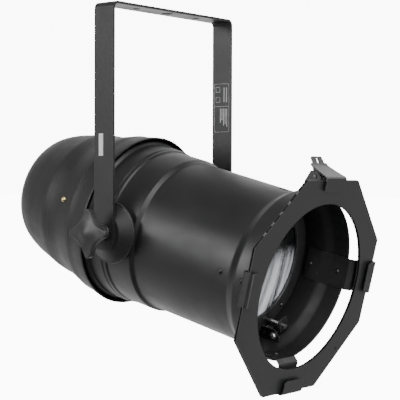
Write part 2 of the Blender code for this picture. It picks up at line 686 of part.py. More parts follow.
def build_rear_panel(head):
    thickness = 2 * MM
    holes = [circle(9.3 * MM, 20, (x * MM, y * MM)) for x, y in SOCKETS.values()]
    holes += [circle(2.8 * MM, 12, (x * MM, BUTTON_Y * MM)) for x in BUTTONS.values()]
    holes.append(circle(4.8 * MM, 16, (FUSE_AT[0] * MM, FUSE_AT[1] * MM)))
    window = [(x, y + DISPLAY_Y * MM) for x, y in rectangle(17 * MM, 5.5 * MM)]
    plate("rear_panel", [circle(57 * MM, 48), *holes, window], thickness, STEEL, head,
          (0, 0, PANEL_FACE_Z + thickness / 2))
    box("display_window", (33.4 * MM, 10.4 * MM, 3 * MM), SCREEN, head,
        (0, DISPLAY_Y * MM, PANEL_FACE_Z + 1.2 * MM))
    for name, (x, y) in SOCKETS.items():
        build_socket(head, name, x, y)
    for name, x in BUTTONS.items():
        button = [(0, 5), (4, 5), (4, 2.4), (2.4, 2.4), (2.4, -2.0), (2.0, -2.4), (0, -2.4)]
        turned(name, scaled(button), DARK, head, (x * MM, BUTTON_Y * MM, PANEL_FACE_Z), None, 12)
    fuse = [(0, 16), (4.4, 16), (4.4, -0.3), (6, -0.3), (6, -4), (5, -5), (0, -5)]
    fuse_at = (FUSE_AT[0] * MM, FUSE_AT[1] * MM, PANEL_FACE_Z)
    turned("fuse_holder", scaled(fuse), DARK, head, fuse_at, None, 16)


def build_socket(head, name, x, y):
    """Round flanged socket with a blind recess that opens to the rear."""
    body = [(0, 18), (9, 18), (9, -0.3), (12, -0.3), (12, -2.3), (9, -3.3), (7.4, -3.3), (7.4, 14), (0, 14)]
    turned(name, scaled(body), DARK, head, (x * MM, y * MM, PANEL_FACE_Z), None, 24)


# ---------------------------------------------------------------- assembly

def build():
    clear_scene()
    global PARTS, CUTTERS
    PARTS = new_collection("par_can_light")
    CUTTERS = new_collection("cutters")
    head = bpy.data.objects.new("head_axis", None)
    head.location = (0, 0, -YOKE_DROP)
    head.rotation_euler = (math.radians(90) + TILT, 0, 0)
    PARTS.objects.link(head)

    build_yoke()
    build_barrel(head)
    build_rear_can(head)
    build_can_screws(head)
    build_pivot(head, "left", -1)
    build_pivot(head, "right", 1)
    build_colour_frame(head)
    for name, (degrees, floor) in CLIPS.items():
        build_clip(head, name, degrees, floor)
    build_latch(head)
    build_carriage(head)
    build_zoom_drive(head)
    build_engine(head)
    build_electronics(head)
    build_rear_panel(head)


build()
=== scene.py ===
"""Looks of the par can light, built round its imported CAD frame.

Sizes are millimetres and angles are degrees unless a name says otherwise. Pieces of the head are made
in the head's own frame: x across, y toward the top of the can, z forward along the can, with the
origin on the tilt axis. Pieces of the yoke are made in the row frame.
"""
import json
import math

import bmesh
import bpy
from mathutils import Matrix, Vector


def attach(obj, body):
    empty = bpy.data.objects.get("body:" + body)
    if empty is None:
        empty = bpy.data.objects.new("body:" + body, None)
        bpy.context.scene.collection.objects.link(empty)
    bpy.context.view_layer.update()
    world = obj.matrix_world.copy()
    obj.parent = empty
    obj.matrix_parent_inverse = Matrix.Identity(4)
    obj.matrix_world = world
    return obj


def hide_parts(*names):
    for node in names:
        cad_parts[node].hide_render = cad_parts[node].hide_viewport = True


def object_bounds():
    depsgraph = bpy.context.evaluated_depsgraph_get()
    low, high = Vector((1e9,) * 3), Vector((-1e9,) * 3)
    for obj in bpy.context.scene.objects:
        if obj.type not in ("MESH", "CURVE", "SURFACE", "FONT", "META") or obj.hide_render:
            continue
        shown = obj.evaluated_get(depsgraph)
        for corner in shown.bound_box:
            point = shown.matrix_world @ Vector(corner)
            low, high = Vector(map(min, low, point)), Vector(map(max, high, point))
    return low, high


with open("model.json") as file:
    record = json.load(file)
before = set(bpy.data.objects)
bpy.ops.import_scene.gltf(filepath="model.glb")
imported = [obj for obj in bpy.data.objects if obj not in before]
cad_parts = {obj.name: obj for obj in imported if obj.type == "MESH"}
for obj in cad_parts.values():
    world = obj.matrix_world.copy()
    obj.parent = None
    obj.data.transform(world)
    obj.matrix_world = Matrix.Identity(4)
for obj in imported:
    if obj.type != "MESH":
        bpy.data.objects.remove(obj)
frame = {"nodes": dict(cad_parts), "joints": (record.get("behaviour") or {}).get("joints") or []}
cad_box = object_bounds()

MM = 0.001
JOINTS = {joint["name"]: joint for joint in frame["joints"]}
NODES = frame["nodes"]

PIVOT = Vector(JOINTS["head_tilt"]["pos_m"])
FORWARD = Vector(JOINTS["zoom_travel"]["axis"]).normalized()
ACROSS = Vector((1, 0, 0))
HEAD = Matrix.Translation(PIVOT) @ Matrix((ACROSS, FORWARD.cross(ACROSS), FORWARD)).transposed().to_4x4()
ROW = Matrix.Identity(4)
TILT = math.radians(14)

ROUND = 144


def spin(degrees, axis):
    """A turn about X, Y or Z."""
    return Matrix.Rotation(math.radians(degrees), 4, axis)


# ---- materials

class Nodes:
    """A small writer for a node tree."""

    def __init__(self, tree):
        self.tree = tree

    def feed(self, target, value):
        """Put a number on a socket, or a link from another one."""
        if isinstance(value, bpy.types.NodeSocket):
            self.tree.links.new(value, target)
        else:
            target.default_value = value

    def node(self, kind, **values):
        node = self.tree.nodes.new("ShaderNode" + kind)
        for name, value in values.items():
            self.feed(node.inputs[name.replace("_", " ")], value)
        return node

    def calculated(self, kind, operation, first, second):
        node = self.node(kind)
        node.operation = operation
        self.feed(node.inputs[0], first)
        self.feed(node.inputs[1], second)
        return node.outputs["Value"]

    def dot(self, first, second):
        return self.calculated("VectorMath", "DOT_PRODUCT", first, second)

    def multiply(self, first, second):
        return self.calculated("Math", "MULTIPLY", first, second)

    def spread(self, value, low, high, start=0.35, end=0.65):
        """Map a texture value between start and end to the span from low to high."""
        return self.node("MapRange", Value=value, From_Min=start, From_Max=end, To_Min=low,
                         To_Max=high).outputs["Result"]


class Shading(Nodes):
    """A material written in object coordinates."""

    def __init__(self, name):
        self.material = bpy.data.materials.new(name)
        self.material.use_nodes = True
        super().__init__(self.material.node_tree)
        self.shader = self.tree.nodes["Principled BSDF"]
        self.coordinates = self.node("TexCoord").outputs["Object"]

    def set(self, **values):
        for name, value in values.items():
            self.feed(self.shader.inputs[name.replace("_", " ")], value)

    def stretched(self, scale):
        return self.node("Mapping", Scale=scale, Vector=self.coordinates).outputs["Vector"]

    def noise(self, scale, detail=3.0, vector=None):
        return self.node("TexNoise", Scale=scale, Detail=detail, Roughness=0.55,
                         Vector=vector or self.coordinates).outputs["Fac"]

    def tint(self, value, dark, light):
        ramp = self.node("ValToRGB", Fac=value)
        for element, position, colour in zip(ramp.color_ramp.elements, (0.3, 0.7), (dark, light)):
            element.position = position
            element.color = (*colour, 1)
        return ramp.outputs["Color"]

    def mix(self, factor, base, colour):
        node = self.node("Mix")
        node.data_type = "RGBA"
        for place, value in ((0, factor), (6, base), (7, (*colour, 1))):
            self.feed(node.inputs[place], value)
        return node.outputs[2]

    def edges(self, width):
        """0 on flat ground, rising toward edges, where a rounded normal leaves the true one."""
        rounded = self.node("Bevel", Radius=width)
        rounded.samples = 4
        true = self.node("NewGeometry").outputs["Normal"]
        return self.spread(self.dot(rounded.outputs["Normal"], true), 1.0, 0.0, 0.90, 0.995)

    def ramp_along(self, axis, start, end):
        """0 to 1 between two distances, in metres, along an axis of the object."""
        return self.spread(self.dot(self.coordinates, axis), 0.0, 1.0, start, end)

    def bump(self, *layers):
        """Each layer is (height output, depth in metres)."""
        for height, depth in layers:
            node = self.node("Bump", Strength=1.0, Distance=depth, Height=height)
            for link in self.shader.inputs["Normal"].links:
                self.feed(node.inputs["Normal"], link.from_socket)
            self.set(Normal=node.outputs["Normal"])


# How many times lighter than the paint the edges are painted: partly wear, partly a painted edge highlight.
EDGE_WEAR_AND_HIGHLIGHT_GAIN = 5.5
EDGE_REACH = 0.0009
ACRYLIC_IOR = 1.49


def powder_coat(name, dark, light, smoothest, roughest, peel=0.00005):
    """Baked powder paint: fine orange peel, cloudy gloss, and much lighter edges, partly wear and partly a
    painted highlight.
    """
    paint = Shading(name)
    body = paint.tint(paint.noise(9.0, 4.0), dark, light)
    # Wear and painted highlight: the paint is painted far lighter in patches along its edges.
    wear_and_highlight_mask = paint.multiply(paint.edges(EDGE_REACH), paint.spread(paint.noise(220.0, 5.0), 0.15, 0.80))
    paint.set(Base_Color=paint.mix(wear_and_highlight_mask, body, [EDGE_WEAR_AND_HIGHLIGHT_GAIN * value for value in light]),
              Roughness=paint.spread(paint.noise(34.0, 4.0), smoothest, roughest), Metallic=0.0, IOR=1.5)
    paint.bump((paint.noise(620.0, 2.0), peel), (paint.noise(2600.0, 2.0), peel * 0.3))
    return paint.material


def moulded(name, dark, light, smoothest, roughest):
    """Moulded plastic with a fine spark-eroded grain."""
    plastic = Shading(name)
    plastic.set(Base_Color=plastic.tint(plastic.noise(40.0), dark, light),
                Roughness=plastic.spread(plastic.noise(90.0), smoothest, roughest))
    plastic.bump((plastic.noise(1500.0), 0.00004))
    return plastic.material


def bare_metal(name, dark, light, smoothest, roughest, stretch=(1.0, 1.0, 1.0)):
    """Plated or drawn metal, with tool marks along the least stretched direction."""
    metal = Shading(name)
    marks = metal.noise(900.0, vector=metal.stretched(stretch))
    metal.set(Base_Color=metal.tint(metal.noise(55.0, 4.0), dark, light),
              Roughness=metal.spread(marks, smoothest, roughest), Metallic=1.0)
    metal.bump((marks, 0.00002))
    return metal.material


def lens_glass():
    """Clear acrylic. Milky streaks are painted up its lower right half: a painted reflection of light inside
    the lens.
    """
    glass = Shading("lens_acrylic")
    wavy = glass.noise(52.0, vector=glass.stretched((1.0, 0.13, 0.0)))
    fine = glass.noise(120.0, 2.0, vector=glass.stretched((1.0, 0.10, 0.0)))
    # Painted reflection: in the lower right half the acrylic turns white and cloudy in streaks, standing in
    # for light inside the lens.
    side = glass.ramp_along((0.92, -0.38, 0.0), -0.004, 0.044)
    low = glass.ramp_along((0.10, -1.0, 0.0), -0.016, 0.004)
    painted_streak_light = glass.multiply(glass.spread(wavy, 0.05, 1.0, 0.42, 0.60), glass.multiply(side, low))
    glass.set(Base_Color=glass.tint(fine, (0.72, 0.76, 0.82), (0.95, 0.96, 0.98)),
              Roughness=glass.spread(fine, 0.03, 0.14),
              Transmission_Weight=glass.spread(painted_streak_light, 1.0, 0.05, 0.0, 0.9), IOR=ACRYLIC_IOR)
    glass.bump((fine, 0.00003))
    return glass.material


def speckled(name, colour):
    """Unlit parts of the display and the emitter."""
    unlit = Shading(name)
    speckle = unlit.noise(700.0, 2.0)
    unlit.set(Base_Color=unlit.tint(speckle, [0.8 * value for value in colour], colour),
              Roughness=unlit.spread(speckle, 0.35, 0.55))
    unlit.bump((speckle, 0.00005))
    return unlit.material


PAINT = powder_coat("black_powder_coat", (0.011, 0.011, 0.0113), (0.017, 0.017, 0.0172), 0.34, 0.44)
CASING = powder_coat("black_powder_coat_casing", (0.011, 0.011, 0.011), (0.017, 0.017, 0.0168), 0.42, 0.52)
# A lighter copy of the black paint for the frame's fold tabs: a painted highlight.
TAB_HIGHLIGHT_COAT = powder_coat("painted_highlight_powder_coat", (0.05, 0.05, 0.05), (0.14, 0.14, 0.138), 0.28, 0.40)
INSIDE = powder_coat("matt_black_inside", (0.004, 0.004, 0.0042), (0.008, 0.008, 0.008), 0.55, 0.7)
KNOB = moulded("knob_nylon", (0.019, 0.019, 0.0195), (0.030, 0.030, 0.0305), 0.34, 0.44)
PLASTIC = moulded("black_plastic", (0.010, 0.010, 0.011), (0.016, 0.016, 0.017), 0.35, 0.5)
ZINC = bare_metal("zinc_plate", (0.50, 0.50, 0.47), (0.66, 0.65, 0.61), 0.24, 0.42)
STEEL_BOLT = bare_metal("bright_steel", (0.42, 0.42, 0.41), (0.60, 0.59, 0.57), 0.20, 0.38)
DARK_ZINC = bare_metal("black_zinc_plate", (0.07, 0.07, 0.075), (0.14, 0.14, 0.145), 0.25, 0.45)
BRASS = bare_metal("brass", (0.62, 0.48, 0.22), (0.84, 0.70, 0.38), 0.18, 0.34)
ALUMINIUM = bare_metal("mill_aluminium", (0.62, 0.63, 0.65), (0.76, 0.77, 0.79), 0.22, 0.42, (1.0, 0.05, 1.0))
MIRROR = bare_metal("spun_reflector", (0.80, 0.80, 0.81), (0.90, 0.90, 0.91), 0.10, 0.2, (1.0, 1.0, 0.05))
STICKER = moulded("white_vinyl", (0.62, 0.62, 0.61), (0.72, 0.72, 0.71), 0.35, 0.5)
BOARD = moulded("solder_resist", (0.008, 0.055, 0.022), (0.014, 0.085, 0.035), 0.3, 0.45)
INK = moulded("pale_screen_ink", (0.36, 0.36, 0.37), (0.52, 0.52, 0.54), 0.4, 0.6)
PHOSPHOR = speckled("phosphor", (0.78, 0.62, 0.14))
SCREEN = speckled("display_glass", (0.004, 0.010, 0.022))
PIXELS = speckled("display_segments", (0.055, 0.075, 0.095))
GLASS = lens_glass()


# ---- mesh helpers

def evaluated(thing):
    """The mesh of an object with its modifiers applied."""
    graph = bpy.context.evaluated_depsgraph_get()
    mesh = bpy.data.meshes.new_from_object(thing.evaluated_get(graph))
    mesh.name = thing.name
    return mesh


def scratch_object(shape, name="scratch"):
    """A bmesh as a plain object that is used up by a Boolean."""
    mesh = bpy.data.meshes.new(name)
    bmesh.ops.recalc_face_normals(shape, faces=shape.faces)
    shape.to_mesh(mesh)
    shape.free()
    thing = bpy.data.objects.new(name, mesh)
    bpy.context.scene.collection.objects.link(thing)
    return thing


def piece(name, shape, material, nodes=(), body="head", at=HEAD, bevel=0.0, sharp=32, cuts=(),
          adds=()):
    """Turn a bmesh in mm into a finished piece that rides on a CAD body."""
    thing = scratch_object(shape, name)
    spent = []
    for tools, operation in ((adds, "UNION"), (cuts, "DIFFERENCE")):
        for tool in tools:
            other = scratch_object(tool)
            step = thing.modifiers.new(operation, "BOOLEAN")
            step.operation = operation
            step.solver = "EXACT"
            step.object = other
            spent.append(other)
    if bevel:
        edge = thing.modifiers.new("Bevel", "BEVEL")
        edge.width = bevel
        edge.segments = 2
        edge.limit_method = "ANGLE"
        edge.angle_limit = math.radians(38)
    if thing.modifiers:
        mesh = evaluated(thing)
        thing.modifiers.clear()
        thing.data = mesh
    for other in spent:
        bpy.data.objects.remove(other)
    thing.data.transform(Matrix.Scale(MM, 4))
    thing.data.shade_smooth()
    thing.data.set_sharp_from_angle(angle=math.radians(sharp))
    even = thing.modifiers.new("WeightedNormal", "WEIGHTED_NORMAL")
    even.keep_sharp = True
    thing.data.materials.clear()
    thing.data.materials.append(material)
    thing.matrix_world = at
    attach(thing, body)
    if nodes:
        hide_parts(*nodes)
    return thing


def arc(centre, radius, start, end, count):
    angles = [math.radians(start + (end - start) * i / count) for i in range(count + 1)]
    return [(centre[0] + radius * math.cos(a), centre[1] + radius * math.sin(a)) for a in angles]


def circle(radius, count, centre=(0, 0)):
    return arc(centre, radius, 0, 360 - 360 / count, count - 1)


def rounded_rectangle(half_x, half_y, radius, count=6):
    points = []
    for start, sx, sy in ((0, 1, 1), (90, -1, 1), (180, -1, -1), (270, 1, -1)):
        points += arc((sx * (half_x - radius), sy * (half_y - radius)), radius, start, start + 90, count)
    return points


def filleted(points, radius, count=4, closed=False):
    """Round each corner of a polyline, by less where its sides are short."""
    result = []
    last = len(points) - 1
    for i, point in enumerate(points):
        if not closed and i in (0, last):
            result.append(point)
            continue
        here = Vector(point)
        back = Vector(points[i - 1]) - here
        on = Vector(points[(i + 1) % len(points)]) - here
        turn = math.pi - back.angle(on, math.pi)
        if turn < math.radians(4):
            result.append(point)
            continue
        reach = min(radius * math.tan(turn / 2), back.length * 0.45, on.length * 0.45)
        first = here + back.normalized() * reach
        second = here + on.normalized() * reach
        for step in range(count + 1):
            t = step / count
            spot = first * (1 - t) ** 2 + here * 2 * t * (1 - t) + second * t * t
            result.append((spot.x, spot.y))
    return result


def flowing(points, count=4):
    """A smooth curve through the points (Catmull-Rom)."""
    ends = [points[0]] + list(points) + [points[-1]]
    result = [points[0]]
    for i in range(1, len(ends) - 2):
        a, b, c, d = (Vector(ends[i + k]) for k in (-1, 0, 1, 2))
        for step in range(1, count + 1):
            t = step / count
            spot = 0.5 * (2 * b + (c - a) * t + (2 * a - 5 * b + 4 * c - d) * t ** 2
                          + (3 * b - a - 3 * c + d) * t ** 3)
            result.append(tuple(spot))
    return result


def heading(path, i):
    """Direction of a polyline at one of its points."""
    return (Vector(path[min(i + 1, len(path) - 1)]) - Vector(path[max(i - 1, 0)])).normalized()


def thick(outline, wall):
    """Closed section of a sheet: the outline and its copy set off to the right of its direction."""
    inner = []
    for i, point in enumerate(outline):
        along = heading(outline, i)
        inner.append((point[0] + along.y * wall, point[1] - along.x * wall))
    return outline + inner[::-1]


def ring(shape, radii, heights):
    """Vertices evenly spaced round z, each with its own radius and height."""
    steps = len(radii)
    angles = [2 * math.pi * k / steps for k in range(steps)]
    return [shape.verts.new((radius * math.cos(angle), radius * math.sin(angle), z))
            for radius, angle, z in zip(radii, angles, heights)]


def skin(shape, rings):
    """Faces between each ring of vertices and the next. A vertex met twice by a face counts once."""
    for one, two in zip(rings, rings[1:]):
        steps = len(one)
        for k in range(steps):
            on = (k + 1) % steps
            corners = list(dict.fromkeys((one[k], one[on], two[on], two[k])))
            if len(corners) > 2:
                shape.faces.new(corners)


def lathe(profile, steps=ROUND):
    """Revolve a closed profile of (radius, z) points about z. A radius of 0 makes a pole."""
    shape = bmesh.new()
    rings = []
    for radius, z in profile:
        if radius < 1e-6:
            rings.append([shape.verts.new((0, 0, z))] * steps)
        else:
            rings.append(ring(shape, [radius] * steps, [z] * steps))
    skin(shape, rings + rings[:1])
    bmesh.ops.recalc_face_normals(shape, faces=shape.faces)
    return shape


def slab(outlines, thickness, soften=0.0, at=(0, 0, 0), turn=None):
    """A flat plate: the first outline is its edge, the others are holes. Its edges are softened."""
    curve = bpy.data.curves.new("outline", "CURVE")
    curve.dimensions = "2D"
    curve.fill_mode = "BOTH"
    curve.extrude = thickness / 2 - soften
    curve.bevel_depth = soften
    curve.bevel_resolution = 1
    curve.offset = -soften
    for outline in outlines:
        spline = curve.splines.new("POLY")
        spline.points.add(len(outline) - 1)
        for point, (x, y) in zip(spline.points, outline):
            point.co = (x, y, 0, 1)
        spline.use_cyclic_u = True
    flat = bpy.data.objects.new("outline", curve)
    bpy.context.scene.collection.objects.link(flat)
    mesh = evaluated(flat)
    bpy.data.objects.remove(flat)
    shape = bmesh.new()
    shape.from_mesh(mesh)
    bmesh.ops.remove_doubles(shape, verts=shape.verts, dist=0.005)
    bmesh.ops.recalc_face_normals(shape, faces=shape.faces)
    return moved(shape, at, turn)


def moved(shape, at=(0, 0, 0), turn=None):
    matrix = Matrix.Translation(at) @ (turn or Matrix.Identity(4))
    bmesh.ops.transform(shape, matrix=matrix, verts=shape.verts)
    return shape


def turned_to(direction, across=(0, 0, 1)):
    """Rotation that takes z to the direction, with y as near as can be to across."""
    z = Vector(direction).normalized()
    x = Vector(across).cross(z)
    x = x.normalized() if x.length > 1e-4 else Vector((1, 0, 0))
    return Matrix((x, z.cross(x), z)).transposed().to_4x4()


def ribbon(path, spans, thickness):
    """Folded sheet. Path points are (y, z); spans give its left and right x at each of them."""
    shape = bmesh.new()
    rows = []
    for i, (point, (left, right)) in enumerate(zip(path, spans)):
        along = heading(path, i)
        off = Vector((-along.y, along.x)) * thickness / 2
        one, two = Vector(point) + off, Vector(point) - off
        corners = ((left, one), (right, one), (right, two), (left, two))
        rows.append([shape.verts.new((x, *side)) for x, side in corners])
    skin(shape, rows)
    shape.faces.new(rows[0])
    shape.faces.new(rows[-1][::-1])
    bmesh.ops.recalc_face_normals(shape, faces=shape.faces)
    return shape


def block(size, at=(0, 0, 0), turn=None):
    shape = bmesh.new()
    bmesh.ops.create_cube(shape, size=1)
    bmesh.ops.scale(shape, vec=size, verts=shape.verts)
    return moved(shape, at, turn)


def bar(start, end, radius, count=24):
    run = Vector(end) - Vector(start)
    shape = lathe([(0, 0), (radius, 0), (radius, run.length), (0, run.length)], count)
    return moved(shape, start, turned_to(run, (0, 1, 0.01)))


def merged(*shapes):
    """Several separate closed bodies in one mesh."""
    whole = shapes[0]
    for other in shapes[1:]:
        mesh = bpy.data.meshes.new("part")
        other.to_mesh(mesh)
        other.free()
        whole.from_mesh(mesh)
        bpy.data.meshes.remove(mesh)
    return whole


def polar(radius, degrees, z=0.0):
    return (radius * math.cos(math.radians(degrees)), radius * math.sin(math.radians(degrees)), z)


# ---- yoke

STRAP = 3.0
STRAP_WIDTH = 30.0
YOKE_HALF = 114.0
YOKE_BEND = 8.0
YOKE_TAIL = 290.0
BAR_HOLES = ((0.0, 7.0), (-57.0, 4.5), (57.0, 4.5))
TILT_HOLE_R = 4.3
PRINT = 0.05
LINE = 0.35


def build_yoke():
    section = [(-YOKE_HALF, -YOKE_TAIL)] + arc((-YOKE_HALF + YOKE_BEND, -YOKE_BEND), YOKE_BEND, 180, 90, 10)
    section += arc((YOKE_HALF - YOKE_BEND, -YOKE_BEND), YOKE_BEND, 90, 0, 10) + [(YOKE_HALF, -YOKE_TAIL)]
    edge, corner, over = STRAP_WIDTH / 2, 9.0, 12.0
    strap = slab([thick(section, STRAP)], STRAP_WIDTH, 0.0, turn=spin(90, "X"))
    cuts = [bar((x, 0, -over), (x, 0, over), radius, 48) for x, radius in BAR_HOLES]
    wide, axis = YOKE_HALF + over, PIVOT.z / MM
    cuts.append(bar((-wide, 0, axis), (wide, 0, axis), TILT_HOLE_R, 32))
    for side in (-1, 1):
        out = side * (edge + over)
        outline = [(side * (edge - corner), -over), (out, -over), (out, corner)]
        start, end = (0, -90) if side > 0 else (180, 270)
        outline += arc((side * (edge - corner), corner), corner, start, end, 8)
        cuts.append(slab([outline], 2 * wide, at=(0, 0, -YOKE_TAIL), turn=spin(90, "Z") @ spin(90, "X")))
    piece("yoke_strap", strap, PAINT, ["yoke"], "yoke_body", ROW, 0.45, cuts=cuts)


def build_rating_panel():
    """A blank printed panel on the inner face of the far leg: a frame with plain bars, and no text."""
    face = YOKE_HALF - STRAP - 0.03
    top, low, split, half = -82.5, -145.5, -112.0, 12.0
    tall = (top - low) / 2
    outlines = [rounded_rectangle(half, tall, 1.5), rounded_rectangle(half - LINE, tall - LINE, 1.2)]
    shapes = [slab(outlines, PRINT, at=(0, (top + low) / 2, 0))]
    shapes.append(block((2 * half, LINE, PRINT), (0, split, 0)))
    for y in (-90.0, -103.0):
        shapes.append(slab([rounded_rectangle(3.5, 3.5, 1.0), rounded_rectangle(3.0, 3.0, 0.7)], PRINT,
                           at=(-6.0, y, 0)))
    for row, length in enumerate((24, 20, 22, 15, 18)):
        shapes.append(block((1.1, length, PRINT), (8.5 - 2.6 * row, split - 3 - length / 2, 0)))
    for x in (4.0, 8.0):
        shapes.append(block((1.4, 19, PRINT), (x, -97.0, 0)))
    turn = Matrix(((0, 0, -1, 0), (-1, 0, 0, 0), (0, 1, 0, 0), (0, 0, 0, 1)))
    whole = moved(merged(*shapes), (face, 0, 0), turn)
    piece("rating_panel_print", whole, INK, body="yoke_body", at=ROW)
    sticker = slab([rounded_rectangle(3.4, 13.0, 0.6)], 0.08, at=(-4.2, -167.0, 0))
    sticker = moved(sticker, (-YOKE_HALF - 0.06, 0, 0), turn)
    piece("blank_sticker", sticker, STICKER, body="yoke_body", at=ROW)


# ---- shells

TUBE_R = 92.6
BAND_R = 96.2
BEAD_R = 97.8
COLLAR_R = 98.8
MOUTH_R = 99.0
WALL = 1.6
PIVOT_HOLE_R = 4.5
# Faces inside these limits get the matt black of the tube's inside.
INSIDE_R = 97.9
INSIDE_TOP_Z = 204.0


def s_curve(start, end, count):
    """The points of a smooth step from one radius to another, without its start."""
    points = []
    for i in range(1, count + 1):
        t = i / count
        points.append((start[0] + (end[0] - start[0]) * t * t * (3 - 2 * t),
                       start[1] + (end[1] - start[1]) * t))
    return points


def build_tube():
    """Front tube: flared mouth, plain tube, wide band, bead and the collar that goes into the rear can."""
    outline = [(98.4, 206.0), (MOUTH_R, 205.2), (MOUTH_R, 186.5)]
    outline += s_curve((MOUTH_R, 186.5), (TUBE_R, 171.5), 12) + [(TUBE_R, 100.0), (TUBE_R, 36.0)]
    outline += s_curve((TUBE_R, 33.4), (BAND_R, 27.6), 10) + [(BAND_R, 10.0), (BAND_R, -8.6)]
    outline += s_curve((BAND_R, -8.6), (BEAD_R, -12.2), 6) + [(BEAD_R, -14.4)]
    outline += s_curve((BEAD_R, -14.4), (COLLAR_R, -18.0), 6) + [(COLLAR_R, -30.0), (COLLAR_R, -37.3)]
    outline += s_curve((COLLAR_R, -37.3), (102.0, -43.5), 6) + [(102.0, -50.0), (101.5, -55.7)]
    shell = lathe(thick(outline, WALL))
    slot = slab([rounded_rectangle(2.5, 6.0, 2.0)], 12, at=(0, 92, 158), turn=spin(90, "X"))
    cuts = [slot, bar((-110, 0, 0), (110, 0, 0), PIVOT_HOLE_R)]
    tube = piece("tube_shell", shell, PAINT, ["front_barrel"], cuts=cuts)
    tube.data.materials.append(INSIDE)
    for face in tube.data.polygons:
        middle = face.center
        outward = face.normal.x * middle.x + face.normal.y * middle.y
        if outward < 0 and math.hypot(middle.x, middle.y) < INSIDE_R * MM and middle.z < INSIDE_TOP_Z * MM:
            face.material_index = 1


def build_rear_casing():
    """Deep drawn rear can in three rings, with its rolled front lip and the flange round the panel."""
    lip = [(105.7, -42.6), (106.3, -41.6), (107.2, -41.6), (107.5, -42.8)]
    front = flowing([(107.5, -42.8), (107.0, -46), (105.4, -54), (103.9, -62), (103.2, -70.2)])
    step = [(102.5, -71.2), (102.1, -71.8)]
    middle = flowing([(102.0, -73), (100.2, -80), (97.4, -90), (94.9, -100), (93.6, -109), (93.2, -115.8)])
    groove = [(92.5, -116.4), (92.35, -117.2)]
    dome = flowing([(92.3, -118.4), (91.8, -126), (89.9, -134), (88.0, -142), (86.0, -150), (83.4, -161),
                    (80.2, -171), (76.6, -180), (72.5, -187), (67.5, -192.5), (61.5, -195.6), (54.3, -196)])
    outline = lip[1:] + front[1:] + step + middle + groove + dome
    casing = lathe(thick(outline, 1.9))
    cuts = [bar(polar(80, degrees, -88), polar(120, degrees, -88), 2.5, 16) for degrees in (50, 170, 290)]
    piece("rear_casing", casing, CASING, ["rear_can"], cuts=cuts, sharp=26)


def cross_recess(radius, top, deep):
    """Cutter for a cross-head screw: two short flat blades."""
    return [block(size, (0, 0, top)) for size in ((2 * radius, 0.55, 2 * deep), (0.55, 2 * radius, 2 * deep))]


def screw(name, profile, material, node, body, turn, recess):
    """A screw turned from (radius, z) points, with a cross recess (radius, top, depth) in its head."""
    cuts = [moved(blade, turn=turn) for blade in cross_recess(*recess)]
    piece(name, moved(lathe(profile, 32), turn=turn), material, [node], body, cuts=cuts)


def build_can_screws():
    for number, degrees in enumerate((50, 170, 290), 1):
        profile = [(0, 101.6), (1.0, 101.55), (1.9, 101.3), (2.8, 100.7), (3.35, 99.9), (3.4, 99.4),
                   (2.0, 99.4), (2.0, 92.0), (0, 92.0)]
        turn = Matrix.Translation((0, 0, -88)) @ turned_to(polar(1, degrees))
        screw(f"casing_screw_{number}", profile, BRASS, f"can_screw_{number}", "head", turn,
              (1.7, 101.6, 0.9))


# ---- tilt pivots

def build_pivot(side, sign):
    turn = spin(90 * sign, "Y")
    dish = filleted([(4.6, 110.7), (21, 110.7), (34.6, 101.9), (36.3, 101.9), (36.5, 99.8)], 2.2, 5)
    piece(f"friction_disc_{side}", moved(lathe(thick(dish, 1.4), 96), turn=turn), PAINT,
          [f"pivot_disc_{side}"])
    washer = [(4.5, 114.35), (4.5, 115.85), (9.7, 115.85), (10, 115.6), (10, 114.6), (9.7, 114.35)]
    piece(f"knob_washer_ring_{side}", moved(lathe(washer, 48), turn=turn), DARK_ZINC,
          [f"knob_washer_{side}"], f"knob_seat_{side}")
    build_knob(side, sign, turn)


KNOB_TIP_R = 28.4
KNOB_TIP_ROUND = 5.0
KNOB_WAIST_R = 17.7
KNOB_HOLLOW_R = 32.5
KNOB_TANGENT = 10.7
KNOB_EDGE = 2.0


def knob_radius(angle):
    """Outline of the star: four round tips joined by hollow arcs."""
    off = abs((angle + math.pi / 4) % (math.pi / 2) - math.pi / 4)
    centre = KNOB_TIP_R - KNOB_TIP_ROUND
    if off < math.radians(KNOB_TANGENT):
        across = centre * math.sin(off)
        return centre * math.cos(off) + math.sqrt(max(0.0, KNOB_TIP_ROUND ** 2 - across ** 2))
    reach, turn = KNOB_WAIST_R + KNOB_HOLLOW_R, math.pi / 4 - off
    return reach * math.cos(turn) - math.sqrt(KNOB_HOLLOW_R ** 2 - (reach * math.sin(turn)) ** 2)


KNOB_STEPS = 240
KNOB_FACE_Z = 142.4
KNOB_DOME = 4.3
KNOB_DOME_REACH = 12


